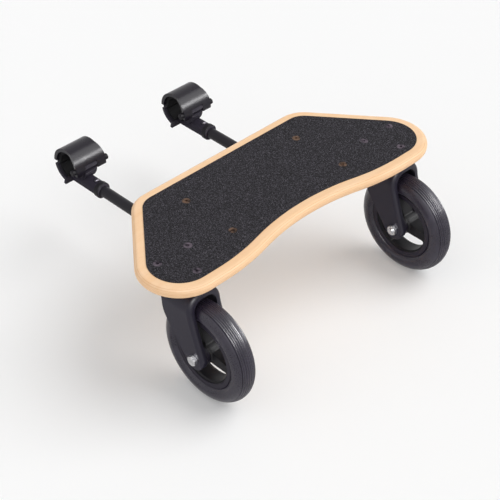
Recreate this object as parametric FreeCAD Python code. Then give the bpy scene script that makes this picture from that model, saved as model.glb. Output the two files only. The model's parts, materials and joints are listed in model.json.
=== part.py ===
import FreeCAD, Part
import math
import os

# Ride-on board that clips behind a pushchair, in millimetres.
# X runs across the board, +Y points towards the pushchair and +Z up, with the floor at z = 0.
# While the pieces are made, Y is counted from the front arm screws.
# The whole model is then moved along Y so that its box is centred on the origin.

V = FreeCAD.Vector
ALONG_X = V(1, 0, 0)
ALONG_Y = V(0, 1, 0)
ALONG_Z = V(0, 0, 1)

# Deck and grip sheet
DECK_TOP = 192.5
GRIP_THICK = 1.0
DECK_THICK = 15.0
EDGE_ROUND = 6.8
FRONT_Y = 54.4
FRONT_CORNER_R = 44.5
SIDE_SLANT = math.radians(50.8)
LOBE_X = 192.4
LOBE_Y = -85.9
LOBE_R = 57.4
REAR_FLAT_X = 169.0
DIP_DEPTH = 21.7
DIP_SHARE = 0.4835
GRIP_INSET = 15.0

# Screws through the deck
ARM_X = 103.0
ARM_SCREW_Y = (0.0, -87.5)
CASTER_X = 190.5
CASTER_Y = -85.0
CASTER_SCREW_CIRCLE = 29.7
SCREW_R = 3.0
SCREW_HEAD_R = 5.6
SCREW_HEAD_RIM = 0.7
SCREW_HEAD_CONE = 2.6
SOCKET_R = 2.0
SOCKET_DEPTH = 2.0
HOLE_GAP = 0.05
SCREW_TAIL = 1.0

# Bent arm tubes
TUBE_R = 8.0
TUBE_WALL = 1.5
ARM_LOW_Z = 117.5
ARM_BEND_R = 40.0
ARM_BEND = math.radians(45.0)
ARM_BEND_START_Y = 12.0
ARM_REAR_Y = -106.0
ARM_FRONT_Y = 203.0
SADDLE_THICK = 1.5
SADDLE_HALF = 7.5
SADDLE_DROP = 5.5
SADDLE_ROUND = 2.0
PLUG_LENGTH = 12.0
PLUG_CAP = 2.5
ARM_NUT_FLATS = 10.0
ARM_NUT_HEIGHT = 6.0

# Casters: plate, kingpin, bearings and fork
PLATE_THICK = 4.0
PLATE_CORNER_R = 8.5
KINGPIN_R = 5.0
KINGPIN_SHOULDER_R = 7.4
CROWN_TOP = 166.5
CROWN_WALL = 4.5
FORK_HALF = 28.0
CROWN_FRONT = 25.0
CROWN_REAR = 42.5
NECK_FRONT = 8.5
NECK_Z = 150.0
NECK_ROUND = 26.0
KNEE_FRONT = 6.0
KNEE_FRONT_Z = 124.0
KNEE_FRONT_ROUND = 40.0
KNEE_REAR = 43.5
KNEE_REAR_Z = 140.0
KNEE_REAR_ROUND = 60.0
VISOR_ROUND = 3.0
FORK_CORNER_R = 24.0
FLANGE_DEPTH = 9.0
FLANGE_THICK = 7.2
FLANGE_ROUND = 6.2
LEG_END_R = 15.5
SWIVEL_BOSS_R = 16.0
SWIVEL_BOSS_BOTTOM = 150.0
SWIVEL_BEARING_R = 13.0
SWIVEL_BEARING_WIDTH = 7.0
KINGPIN_NUT_FLATS = 16.0
KINGPIN_NUT_HEIGHT = 6.5
CROWN_RIB = 3.0
CROWN_RIB_LIFT = 4.0
BEARING_SHELF = 2.0
RUN_GAP = 0.05
PRESS_GAP = 0.02
FACE_GAP = 0.3

# Wheels
WHEEL_R = 75.0
WHEEL_Y = -134.8
TYRE_SECTION_R = 17.0
TYRE_BEAD_HALF = 13.0
TYRE_BEAD_SLOPE = 0.7
RIM_LIP_R = 51.0
RIM_HALF = 13.2
RIM_LIP_THICK = 3.2
RIM_SEAT_R = 46.6
RIM_INNER_R = 43.6
WEB_HALF = 9.0
HUB_R = 13.4
HUB_HALF = 17.2
SPOKES = 3
SPOKE_FIRST = 66.0
SPOKE_ROOT = 19.0
SPOKE_TIP = 11.4
WINDOW_IN_R = 14.5
WINDOW_OUT_R = 41.6
WINDOW_ROUND = 3.0
BEARING_R = 11.0
BEARING_WIDTH = 7.0
AXLE_R = 4.0
AXLE_HEAD_FLATS = 13.0
AXLE_HEAD_HEIGHT = 5.0
AXLE_SPACER_R = 7.0
AXLE_TAIL = 2.5
EDGE_BREAK = 0.8
MOULD_ROUND = 2.0
WEB_ROUND = 1.6
HUB_SHELF = 2.0

# Clamps at the ends of the arms
CLAMP_X = 101.5
CLAMP_Y = 226.3
CLAMP_Z = 142.3
CLAMP_R = 27.8
LID_IN_R = 22.8
LID_HALF = 22.4
EAR_HALF = 26.2
EAR_START_Y = -8.0
EAR_END_Y = -24.0
EAR_ROUND = 12.0
JAW_IN_R = 22.0
JAW_HALF = 22.0
LINER_R = 18.0
LINER_HALF = 18.0
LID_START = -1.0
LID_END = 186.0
JAW_START = -79.0
JAW_END = -14.0
HINGE_Y = -22.8
HINGE_Z = 4.0
HINGE_PIN_R = 2.0
KNUCKLE_R = 4.6
KNUCKLE_HALF = 10.4
CAP_R = 4.4
CAP_LENGTH = 4.4
LUG_X = 9.0
LUG_Y = 29.5
LUG_R = 6.0
LUG_HEIGHT = 7.0
LUG_LID_LOW = -4.0
LUG_JAW_LOW = -14.0
CLAMP_SCREW_R = 2.5
CLAMP_SCREW_HEAD_R = 4.25
CLAMP_SCREW_HEAD = 5.0
TAB_REACH = 34.4
TAB_END = -72.0
NECK_TOP = 181.0
NECK_BOTTOM = 287.0
NECK_INSET = 1.0
LID_BORE_END = 150.0
LID_LINER_START = -12.0
LID_LINER_END = 152.0
JAW_LINER_START = -138.0
JAW_LINER_STEP = -77.0
JAW_LINER_END = -17.0
JAW_LINER_TAIL = 9.0
LUG_ROOT = 3.5
CLAMP_SCREW_TIP = -17.0
CLAMP_SOCKET = 4.0
CLAMP_SOCKET_DEPTH = 2.5
SLOT_GAP = 0.4
PIN_TAIL = 0.4
CAP_ROUND = 1.4

# Sleeve that takes the arm tube, with its collar and release button
SLEEVE_R = 10.8
SLEEVE_MOUTH_Y = 173.0
SLEEVE_ROOT_Y = 233.6
COLLAR_R = 12.0
COLLAR_LENGTH = 8.2
BUTTON_Y = 187.5
BUTTON_R = 3.5
BUTTON_PROUD = 2.8
BUTTON_FLANGE_R = 4.6
BUTTON_FLANGE = 1.2
BUTTON_LOW = 2.2
BUTTON_DOME = 2.1
SPRING_WIDTH = 5.0
SPRING_THICK = 0.6
SPRING_FLOOR = -5.8
SPRING_KNEE = -0.7
SPRING_BACK = 20.0
SPRING_FRONT = 6.0
SPRING_BEND = 1.8

# Worked out from the sizes above
DECK_FACE = DECK_TOP - GRIP_THICK
DECK_BOTTOM = DECK_FACE - DECK_THICK
REAR_Y = LOBE_Y - LOBE_R
ARM_HIGH_Z = DECK_BOTTOM - SADDLE_THICK - TUBE_R
PLATE_BOTTOM = DECK_BOTTOM - PLATE_THICK
FORK_INNER = FORK_HALF - CROWN_WALL
LUG_FRONT_Y = CLAMP_Y + LUG_Y + LUG_R
CENTRE_Y = (LUG_FRONT_Y + WHEEL_Y - WHEEL_R) / 2.0


def cylinder(radius, length, base, axis):
    """A round bar that starts at base and runs along axis."""
    return Part.makeCylinder(radius, length, base, axis)


def ring(outer, inner, length, base, axis):
    """A plain round tube."""
    return cylinder(outer, length, base, axis).cut(cylinder(inner, length, base, axis))


def rounded_wire(points, radii):
    """A closed outline through flat points, each corner rounded by its own radius."""
    edges = []
    ends = []
    count = len(points)
    for i in range(count):
        corner = points[i]
        back = (points[i - 1] - corner).normalize()
        ahead = (points[(i + 1) % count] - corner).normalize()
        radius = radii[i]
        if radius <= 0:
            ends.append((corner, corner, None))
            continue
        half = back.getAngle(ahead) / 2.0
        reach = radius / math.tan(half)
        middle = (back + ahead).normalize() * (radius / math.sin(half) - radius)
        ends.append((corner + back * reach, corner + ahead * reach, corner + middle))
    for i in range(count):
        start, finish, middle = ends[i]
        if middle is not None:
            edges.append(Part.Arc(start, middle, finish).toShape())
        following = ends[(i + 1) % count][0]
        if finish.distanceToPoint(following) > 1e-6:
            edges.append(Part.LineSegment(finish, following).toShape())
    return Part.Wire(edges)


def prism(points, radii, reach):
    """A solid with a rounded outline, drawn out along the vector reach."""
    return Part.Face(rounded_wire(points, radii)).extrude(reach)


def turned(profile, base, axis):
    """A solid of revolution from (along, radius) points measured on the axis from base."""
    side = ALONG_Z if abs(axis.z) < 0.5 else ALONG_X
    points = [base + axis * along + side * radius for along, radius in profile]
    outline = Part.makePolygon(points + [points[0]])
    return Part.Face(outline).revolve(base, axis, 360)


def hexagon(flats, height, base, axis):
    """A hexagonal prism with its corners turned off, as on a nut or a bolt head."""
    corner_r = flats / math.sqrt(3.0)
    side = ALONG_Z if abs(axis.z) < 0.5 else ALONG_X
    across = axis.cross(side)
    points = []
    for step in range(6):
        turn = math.radians(60 * step)
        points.append(base + side * (corner_r * math.cos(turn)) + across * (corner_r * math.sin(turn)))
    body = Part.Face(Part.makePolygon(points + [points[0]])).extrude(axis * height)
    drop = corner_r - flats / 2.0
    cone = turned([(0, 0), (0, flats / 2.0), (drop * 0.6, corner_r), (height - drop * 0.6, corner_r),
                   (height, flats / 2.0), (height, 0)], base, axis)
    return body.common(cone)


def nut(flats, height, hole_r, base, axis):
    """A hexagon nut with a plain bore."""
    return hexagon(flats, height, base, axis).cut(cylinder(hole_r, height, base, axis))


def bearing(outer, inner, width, base, axis):
    """A ball bearing as one ring, with the shallow recess of its shield on both faces."""
    third = (outer - inner) / 3.0
    dip = 0.5
    low = inner + third * 0.7
    high = outer - third * 0.7
    return turned([(0, inner), (0, low), (dip, low), (dip, high), (0, high), (0, outer),
                   (width, outer), (width, high), (width - dip, high), (width - dip, low),
                   (width, low), (width, inner)], base, axis)


def mirrored(shape):
    """The same piece on the other side of the board."""
    return shape.mirror(V(0, 0, 0), ALONG_X)


def save(name, solids):
    """Write one node, moved to the centred frame."""
    shape = solids[0] if len(solids) == 1 else Part.makeCompound(solids)
    shape = shape.copy()
    shape.translate(V(0, -CENTRE_Y, 0))
    if not shape.isValid():
        print("not valid:", name)
    shape.exportStep("parts/" + name + ".step")


def save_pair(name, make):
    """Write a right-hand piece, or group of pieces, and its mirror image."""
    solids = make()
    save(name + "_right", solids)
    save(name + "_left", [mirrored(solid) for solid in solids])


def board_outline(inset, height):
    """The board's outline from tangent lines and arcs, drawn in by inset from the edge."""
    normal_x = math.sin(SIDE_SLANT)
    normal_y = math.cos(SIDE_SLANT)
    front = FRONT_Y - inset
    corner_r = FRONT_CORNER_R - inset
    lobe_r = LOBE_R - inset
    rear = REAR_Y + inset
    dip = rear + DIP_DEPTH
    side_reach = normal_x * LOBE_X + normal_y * LOBE_Y + lobe_r
    vertex_x = (side_reach - normal_y * front) / normal_x
    tangent = corner_r * math.tan(SIDE_SLANT / 2.0)
    corner_x = vertex_x - tangent
    corner_y = front - corner_r
    sweep = 2.0 * math.atan(DIP_DEPTH / REAR_FLAT_X)
    sum_r = REAR_FLAT_X / math.sin(sweep)
    lobe_turn_r = sum_r * DIP_SHARE - inset
    dip_r = sum_r - lobe_turn_r
    half = sweep / 2.0
    quarter = math.radians(90) - SIDE_SLANT
    lobe_middle = (quarter - math.radians(90)) / 2.0

    def at(x, y):
        return V(x, y, height)

    def on_arc(x, y, radius, angle):
        return at(x + radius * math.cos(angle), y + radius * math.sin(angle))

    turn_y = rear + lobe_turn_r
    meet = on_arc(REAR_FLAT_X, turn_y, lobe_turn_r, math.radians(-90) - sweep)
    half_edges = [
        Part.LineSegment(at(0, front), at(corner_x, front)),
        Part.Arc(at(corner_x, front),
                 on_arc(corner_x, corner_y, corner_r, math.radians(90) - SIDE_SLANT / 2.0),
                 on_arc(corner_x, corner_y, corner_r, quarter)),
        Part.LineSegment(on_arc(corner_x, corner_y, corner_r, quarter),
                         on_arc(LOBE_X, LOBE_Y, lobe_r, quarter)),
        Part.Arc(on_arc(LOBE_X, LOBE_Y, lobe_r, quarter),
                 on_arc(LOBE_X, LOBE_Y, lobe_r, lobe_middle),
                 at(LOBE_X, rear)),
        Part.LineSegment(at(LOBE_X, rear), at(REAR_FLAT_X, rear)),
        Part.Arc(at(REAR_FLAT_X, rear),
                 on_arc(REAR_FLAT_X, turn_y, lobe_turn_r, math.radians(-90) - half),
                 meet),
        Part.Arc(meet,
                 on_arc(0, dip - dip_r, dip_r, math.radians(90) - half),
                 at(0, dip)),
    ]
    right = [edge.toShape() for edge in half_edges]
    left = [mirrored(edge) for edge in right]
    return Part.Wire(Part.__sortEdges__(right + left))


def caster_screw_places():
    """Places of one caster's three screws, with the single one to the rear."""
    places = []
    for step in range(3):
        turn = math.radians(30 + 120 * step)
        places.append((CASTER_X + CASTER_SCREW_CIRCLE * math.cos(turn),
                       CASTER_Y + CASTER_SCREW_CIRCLE * math.sin(turn)))
    return places


def arm_screw_places():
    """Places of one arm's two screws."""
    return [(ARM_X, y) for y in ARM_SCREW_Y]


def flat_head(x, y, tip_z, gap):
    """A countersunk screw flush with the grip sheet, grown by gap when it cuts its own seat."""
    head_r = SCREW_HEAD_R + gap
    shank_r = SCREW_R + gap
    drop = SCREW_HEAD_RIM + SCREW_HEAD_CONE
    return turned([(0, 0), (0, head_r), (-SCREW_HEAD_RIM, head_r), (-drop, shank_r),
                   (tip_z - DECK_TOP, shank_r), (tip_z - DECK_TOP, 0)], V(x, y, DECK_TOP), ALONG_Z)


def with_socket(screw, x, y):
    """Sink the hexagon socket into a screw's head."""
    return screw.cut(hexagon(2 * SOCKET_R, SOCKET_DEPTH + 1, V(x, y, DECK_TOP - SOCKET_DEPTH), ALONG_Z))


def screw_seats():
    """Cutting tools for every screw seat in the deck and the grip sheet."""
    places = arm_screw_places() + caster_screw_places()
    tools = [flat_head(x, y, DECK_BOTTOM - 1, HOLE_GAP) for x, y in places]
    return tools + [mirrored(tool) for tool in tools]


def make_deck():
    """Plywood deck with rounded edges all round."""
    board = Part.Face(board_outline(0, DECK_BOTTOM)).extrude(V(0, 0, DECK_THICK))
    rims = [edge for edge in board.Edges
            if abs(edge.BoundBox.ZLength) < 1e-6]
    board = board.makeFillet(EDGE_ROUND, rims)
    return [board.cut(screw_seats())]


def make_grip():
    """Thin grit-faced sheet stuck to the deck."""
    sheet = Part.Face(board_outline(GRIP_INSET, DECK_FACE)).extrude(V(0, 0, GRIP_THICK))
    return [sheet.cut(screw_seats())]


def make_arm_screws():
    """Four long screws that hold the arms."""
    tip = ARM_HIGH_Z - TUBE_R - ARM_NUT_HEIGHT - SCREW_TAIL
    right = [with_socket(flat_head(x, y, tip, 0), x, y) for x, y in arm_screw_places()]
    return right + [mirrored(screw) for screw in right]


def make_caster_screws():
    """Six screws that hold the caster plates."""
    tip = PLATE_BOTTOM + FACE_GAP
    right = [with_socket(flat_head(x, y, tip, 0), x, y) for x, y in caster_screw_places()]
    return right + [mirrored(screw) for screw in right]


def arm_path():
    """The arm's centre line: level under the deck, a double bend down, and level to the clamp."""
    fall = ARM_HIGH_Z - ARM_LOW_Z
    arc_fall = ARM_BEND_R * (1 - math.cos(ARM_BEND))
    arc_run = ARM_BEND_R * math.sin(ARM_BEND)
    straight_fall = fall - 2 * arc_fall
    straight_run = straight_fall / math.tan(ARM_BEND)
    half_fall = ARM_BEND_R * (1 - math.cos(ARM_BEND / 2))
    half_run = ARM_BEND_R * math.sin(ARM_BEND / 2)
    y = [ARM_BEND_START_Y, ARM_BEND_START_Y + arc_run]
    y.append(y[1] + straight_run)
    y.append(y[2] + arc_run)

    def at(across, height):
        return V(ARM_X, across, height)

    high = ARM_HIGH_Z
    low = ARM_LOW_Z
    edges = [
        Part.LineSegment(at(ARM_REAR_Y, high), at(y[0], high)),
        Part.Arc(at(y[0], high), at(y[0] + half_run, high - half_fall), at(y[1], high - arc_fall)),
        Part.LineSegment(at(y[1], high - arc_fall), at(y[2], low + arc_fall)),
        Part.Arc(at(y[2], low + arc_fall), at(y[3] - half_run, low + half_fall), at(y[3], low)),
        Part.LineSegment(at(y[3], low), at(ARM_FRONT_Y, low)),
    ]
    return Part.Wire([edge.toShape() for edge in edges])


def make_arm():
    """Bent steel tube, drilled for its two screws and the release button."""
    start = V(ARM_X, ARM_REAR_Y, ARM_HIGH_Z)

    def swept(radius):
        hoop = Part.Wire(Part.makeCircle(radius, start, ALONG_Y))
        return arm_path().makePipeShell([hoop], True, False)

    tube = swept(TUBE_R).cut(swept(TUBE_R - TUBE_WALL))
    for x, y in arm_screw_places():
        below = V(x, y, ARM_HIGH_Z - TUBE_R)
        tube = tube.cut(cylinder(SCREW_R + HOLE_GAP, 2 * TUBE_R, below, ALONG_Z))
    hole = cylinder(BUTTON_R + RUN_GAP, 2 * TUBE_R, V(ARM_X, BUTTON_Y, ARM_LOW_Z), ALONG_Z)
    return [tube.cut(hole)]


def make_arm_plug():
    """Push-in plug at the tube's rear end, with a domed cap."""
    inner = TUBE_R - TUBE_WALL - PRESS_GAP
    dome = PLUG_CAP * 0.4
    return [turned([(PLUG_LENGTH, 0), (PLUG_LENGTH, inner - 1), (PLUG_LENGTH - 1, inner), (0, inner),
                    (0, TUBE_R), (-dome, TUBE_R), (-PLUG_CAP, TUBE_R * 0.7), (-PLUG_CAP, 0)],
                   V(ARM_X, ARM_REAR_Y, ARM_HIGH_Z), ALONG_Y)]


def make_arm_saddles():
    """Hollowed blocks that seat the round arm tubes on the flat underside."""
    right = []
    for x, y in arm_screw_places():
        low = DECK_BOTTOM - SADDLE_DROP
        corners = [V(x - SADDLE_HALF, y - SADDLE_HALF, low), V(x + SADDLE_HALF, y - SADDLE_HALF, low),
                   V(x + SADDLE_HALF, y + SADDLE_HALF, low), V(x - SADDLE_HALF, y + SADDLE_HALF, low)]
        block = prism(corners, [SADDLE_ROUND] * 4, V(0, 0, SADDLE_DROP))
        behind = V(x, y - SADDLE_HALF, ARM_HIGH_Z)
        block = block.cut(cylinder(TUBE_R, 2 * SADDLE_HALF, behind, ALONG_Y))
        right.append(block.cut(cylinder(SCREW_R + HOLE_GAP, 2 * SADDLE_DROP, V(x, y, low), ALONG_Z)))
    return right + [mirrored(block) for block in right]


def make_arm_nuts():
    """Lock nuts under the arm tubes."""
    right = [nut(ARM_NUT_FLATS, ARM_NUT_HEIGHT, SCREW_R + HOLE_GAP,
                 V(x, y, ARM_HIGH_Z - TUBE_R - ARM_NUT_HEIGHT), ALONG_Z) for x, y in arm_screw_places()]
    return right + [mirrored(piece) for piece in right]


def pivot(height):
    """A point on the caster's swivel axis."""
    return V(CASTER_X, CASTER_Y, height)


def lower_bearing_z():
    """Underside of the lower swivel bearing."""
    return SWIVEL_BOSS_BOTTOM + FACE_GAP


def upper_bearing_z():
    """Underside of the upper swivel bearing."""
    return CROWN_TOP - FACE_GAP - SWIVEL_BEARING_WIDTH


def make_caster_plate():
    """Three-cornered top plate with the kingpin riveted through it."""
    corners = [V(x, y, PLATE_BOTTOM) for x, y in caster_screw_places()]
    outline = Part.makePolygon(corners + [corners[0]]).makeOffset2D(PLATE_CORNER_R)
    plate = Part.Face(outline).extrude(V(0, 0, PLATE_THICK))
    for x, y in caster_screw_places():
        plate = plate.cut(cylinder(SCREW_R + HOLE_GAP, PLATE_THICK, V(x, y, PLATE_BOTTOM), ALONG_Z))
    shoulder_z = upper_bearing_z() + SWIVEL_BEARING_WIDTH + FACE_GAP
    pin_end = SWIVEL_BOSS_BOTTOM - KINGPIN_NUT_HEIGHT - 1.0
    pin = turned([(PLATE_BOTTOM + 1, 0), (PLATE_BOTTOM + 1, KINGPIN_SHOULDER_R + 3),
                  (PLATE_BOTTOM, KINGPIN_SHOULDER_R + 3), (PLATE_BOTTOM - 2, KINGPIN_SHOULDER_R),
                  (shoulder_z, KINGPIN_SHOULDER_R), (shoulder_z, KINGPIN_R),
                  (pin_end + 1, KINGPIN_R), (pin_end, KINGPIN_R - 1), (pin_end, 0)], pivot(0), ALONG_Z)
    return [plate.fuse(pin).removeSplitter()]


def make_kingpin_nut():
    """Lock nut under the fork."""
    base = pivot(SWIVEL_BOSS_BOTTOM - KINGPIN_NUT_HEIGHT)
    return [nut(KINGPIN_NUT_FLATS, KINGPIN_NUT_HEIGHT, KINGPIN_R + HOLE_GAP, base, ALONG_Z)]


def make_swivel_bearings():
    """Upper and lower bearing in the fork's crown."""
    return [bearing(SWIVEL_BEARING_R, KINGPIN_R + RUN_GAP, SWIVEL_BEARING_WIDTH, pivot(height), ALONG_Z)
            for height in (lower_bearing_z(), upper_bearing_z())]


def axle_point(along):
    """A point on the wheel's axle, counted outwards from the middle of the wheel."""
    return V(CASTER_X + along, WHEEL_Y, WHEEL_R)


def arch(half, top, corner_r, low):
    """An arch-shaped bar along Y: two upright sides under a crown with rounded shoulders."""
    y = WHEEL_Y - 2 * LEG_END_R
    points = [V(CASTER_X - half, y, low), V(CASTER_X + half, y, low),
              V(CASTER_X + half, y, top), V(CASTER_X - half, y, top)]
    return prism(points, [0, 0, corner_r, corner_r], V(0, CROWN_FRONT - CROWN_REAR + 2 * WHEEL_R, 0))


def touch(point, axle, sign):
    """Where the line from a point touches the round axle end."""
    away = point - axle
    lean = math.atan2(away.z, away.y)
    turn = lean + sign * math.acos(LEG_END_R / away.Length)
    return axle + V(0, LEG_END_R * math.cos(turn), LEG_END_R * math.sin(turn))


def fork_y(forward, height):
    """A point on the fork's inner-side plane, counted along Y from the swivel axis."""
    return V(CASTER_X - FORK_HALF, CASTER_Y + forward, height)


def leg_side():
    """The fork seen from the side: a broad crown that tapers to a round axle end."""
    axle = axle_point(-FORK_HALF)
    knee_front = fork_y(KNEE_FRONT, KNEE_FRONT_Z)
    knee_rear = fork_y(-KNEE_REAR, KNEE_REAR_Z)
    points = [fork_y(CROWN_FRONT, CROWN_TOP), fork_y(NECK_FRONT, NECK_Z), knee_front,
              touch(knee_front, axle, -1), touch(knee_rear, axle, 1), knee_rear,
              fork_y(-CROWN_REAR, CROWN_TOP)]
    rounds = [VISOR_ROUND, NECK_ROUND, KNEE_FRONT_ROUND, 0, 0, KNEE_REAR_ROUND, 0]
    side = prism(points, rounds, V(2 * FORK_HALF, 0, 0))
    return side.fuse(cylinder(LEG_END_R, 2 * FORK_HALF, axle, ALONG_X)).removeSplitter()


def rolled_arch(low):
    """The arch cut to the fork's rear outline, with its rear edges rolled over."""
    knee = fork_y(-KNEE_REAR, KNEE_REAR_Z)
    slope = touch(knee, axle_point(-FORK_HALF), 1) - knee
    foot = knee + slope * ((low - knee.z) / slope.z)
    points = [fork_y(CROWN_FRONT, CROWN_TOP), fork_y(CROWN_FRONT, low), foot, knee,
              fork_y(-CROWN_REAR, CROWN_TOP)]
    block = prism(points, [0, 0, 0, KNEE_REAR_ROUND, 0], V(2 * FORK_HALF, 0, 0))
    shell = arch(FORK_HALF, CROWN_TOP, FORK_CORNER_R, low).common(block).Solids[0]
    edges = []
    for edge in shell.Edges:
        middle = edge.valueAt((edge.FirstParameter + edge.LastParameter) / 2.0)
        behind = middle.y < CASTER_Y - FORK_HALF and middle.z > low + FLANGE_ROUND
        seam = abs(middle.x - CASTER_X) < 1.0 and middle.z < CROWN_TOP - 1.0
        if behind and not seam:
            edges.append(edge)
    return shell.makeFillet(FLANGE_ROUND, edges)


def make_fork():
    """Moulded fork: an arch over the wheel with a rolled rear rim, swivel boss and ribs."""
    low = WHEEL_R - 2 * LEG_END_R
    side = leg_side()
    hollow = arch(FORK_INNER, CROWN_TOP - CROWN_WALL, FORK_CORNER_R - CROWN_WALL, low)
    shifted = side.copy()
    shifted.translate(V(0, FLANGE_THICK, 0))
    rim_hollow = arch(FORK_HALF - FLANGE_DEPTH, CROWN_TOP - FLANGE_DEPTH,
                      FORK_CORNER_R - FLANGE_DEPTH, low)
    outer = rolled_arch(low).common(side)
    rim = outer.cut(shifted).cut(rim_hollow)
    boss = cylinder(SWIVEL_BOSS_R, CROWN_TOP - SWIVEL_BOSS_BOTTOM, pivot(SWIVEL_BOSS_BOTTOM), ALONG_Z)
    rib_low = SWIVEL_BOSS_BOTTOM + CROWN_RIB_LIFT
    rib = Part.makeBox(2 * FORK_INNER, CROWN_RIB, CROWN_TOP - CROWN_WALL / 2 - rib_low,
                       V(CASTER_X - FORK_INNER, CASTER_Y - CROWN_RIB / 2, rib_low))
    fork = outer.cut(hollow).fuse([rim, boss, rib.common(outer)]).removeSplitter()
    pocket = SWIVEL_BEARING_WIDTH + FACE_GAP
    for bottom in (SWIVEL_BOSS_BOTTOM, upper_bearing_z()):
        fork = fork.cut(cylinder(SWIVEL_BEARING_R, pocket, pivot(bottom), ALONG_Z))
    fork = fork.cut(cylinder(SWIVEL_BEARING_R - BEARING_SHELF, CROWN_TOP - SWIVEL_BOSS_BOTTOM,
                             pivot(SWIVEL_BOSS_BOTTOM), ALONG_Z))
    axle_hole = cylinder(AXLE_R + HOLE_GAP, 2 * FORK_HALF, axle_point(-FORK_HALF), ALONG_X)
    return [fork.cut(axle_hole)]


def make_axle_bolt():
    """Axle bolt with its hexagon head on the outer side."""
    shank_start = -FORK_HALF - AXLE_HEAD_HEIGHT - AXLE_TAIL
    shank = cylinder(AXLE_R, FORK_HALF - shank_start, axle_point(shank_start), ALONG_X)
    head = hexagon(AXLE_HEAD_FLATS, AXLE_HEAD_HEIGHT, axle_point(FORK_HALF), ALONG_X)
    return [shank.fuse(head).removeSplitter()]


def make_axle_nut():
    """Lock nut on the inner side."""
    return [nut(AXLE_HEAD_FLATS, AXLE_HEAD_HEIGHT, AXLE_R + HOLE_GAP,
                axle_point(-FORK_HALF - AXLE_HEAD_HEIGHT), ALONG_X)]


def make_axle_spacers():
    """Two outer spacers beside the hub and the spacer between its bearings."""
    start = HUB_HALF + FACE_GAP
    length = FORK_INNER - start
    middle = HUB_HALF - BEARING_WIDTH - FACE_GAP
    inner = AXLE_R + HOLE_GAP
    return [ring(AXLE_SPACER_R, inner, length, axle_point(start), ALONG_X),
            ring(AXLE_SPACER_R, inner, length, axle_point(-start - length), ALONG_X),
            ring(AXLE_SPACER_R - 1, inner, 2 * middle, axle_point(-middle), ALONG_X)]


def make_hub_bearings():
    """Bearings in the two ends of the hub."""
    return [bearing(BEARING_R, AXLE_R + RUN_GAP, BEARING_WIDTH, axle_point(along), ALONG_X)
            for along in (-HUB_HALF, HUB_HALF - BEARING_WIDTH)]


def spoke(index):
    """One spoke as a bar that narrows from the hub to the rim."""
    turn = math.radians(SPOKE_FIRST + 360.0 / SPOKES * index)
    base = axle_point(-RIM_HALF)

    def at(radius, aside):
        return base + V(0, radius * math.cos(turn) - aside * math.sin(turn),
                        radius * math.sin(turn) + aside * math.cos(turn))

    points = [at(0, -SPOKE_ROOT / 2), at(RIM_INNER_R, -SPOKE_TIP / 2),
              at(RIM_INNER_R, SPOKE_TIP / 2), at(0, SPOKE_ROOT / 2)]
    return prism(points, [0] * 4, V(2 * RIM_HALF, 0, 0))


def spoke_windows():
    """The openings between the spokes, as cutting tools through the web."""
    band = ring(WINDOW_OUT_R, WINDOW_IN_R, 2 * RIM_HALF, axle_point(-RIM_HALF), ALONG_X)
    windows = []
    for window in band.cut([spoke(index) for index in range(SPOKES)]).Solids:
        corners = [edge for edge in window.Edges
                   if edge.BoundBox.XLength > RIM_HALF]
        windows.append(window.makeFillet(WINDOW_ROUND, corners))
    return windows


def make_rim():
    """Moulded rim with lips for the tyre, a recessed spoked web and a hub."""
    lip_in = RIM_HALF - RIM_LIP_THICK
    shoulder = HUB_HALF - BEARING_WIDTH
    half = [(HUB_HALF, BEARING_R), (HUB_HALF, HUB_R - EDGE_BREAK), (HUB_HALF - EDGE_BREAK, HUB_R),
            (WEB_HALF + WEB_ROUND, HUB_R), (WEB_HALF, HUB_R + WEB_ROUND),
            (WEB_HALF, RIM_INNER_R - MOULD_ROUND), (WEB_HALF + MOULD_ROUND, RIM_INNER_R),
            (RIM_HALF - EDGE_BREAK, RIM_INNER_R),
            (RIM_HALF, RIM_INNER_R + EDGE_BREAK), (RIM_HALF, RIM_LIP_R - EDGE_BREAK),
            (RIM_HALF - EDGE_BREAK, RIM_LIP_R), (lip_in, RIM_LIP_R), (lip_in, RIM_SEAT_R)]
    bore = [(-shoulder, BEARING_R), (-shoulder, BEARING_R - HUB_SHELF),
            (shoulder, BEARING_R - HUB_SHELF), (shoulder, BEARING_R)]
    profile = half + [(-along, radius) for along, radius in reversed(half)] + bore
    rim = turned(profile, axle_point(0), ALONG_X)
    return [rim.cut(spoke_windows())]


def make_tyre():
    """Solid tyre seated between the rim's lips, round outside and drawn in to its beads."""
    ring_r = WHEEL_R - TYRE_SECTION_R
    lip_in = RIM_HALF - RIM_LIP_THICK - PRESS_GAP
    seat = RIM_SEAT_R + PRESS_GAP
    lip = RIM_LIP_R + PRESS_GAP
    # The straight side wall meets the round section where the line cuts the circle.
    rise = 1 + TYRE_BEAD_SLOPE ** 2
    reach = ring_r - lip
    lean = TYRE_BEAD_HALF * TYRE_BEAD_SLOPE - reach
    spare = TYRE_BEAD_HALF ** 2 + reach ** 2 - TYRE_SECTION_R ** 2
    climb = (math.sqrt(lean ** 2 - rise * spare) - lean) / rise
    wall = TYRE_BEAD_HALF + TYRE_BEAD_SLOPE * climb

    def at(along, radius):
        return axle_point(along) + V(0, 0, radius)

    edges = [Part.Arc(at(wall, lip + climb), at(0, WHEEL_R), at(-wall, lip + climb)).toShape()]
    corners = [(-wall, lip + climb), (-TYRE_BEAD_HALF, lip), (-lip_in, lip), (-lip_in, seat),
               (lip_in, seat), (lip_in, lip), (TYRE_BEAD_HALF, lip), (wall, lip + climb)]
    for start, finish in zip(corners, corners[1:]):
        edges.append(Part.LineSegment(at(*start), at(*finish)).toShape())
    return [Part.Face(Part.Wire(edges)).revolve(axle_point(0), ALONG_X, 360)]


def clamp_point(along, forward, up):
    """A point counted from the middle of the clamp's bore."""
    return V(CLAMP_X + along, CLAMP_Y + forward, CLAMP_Z + up)


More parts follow.
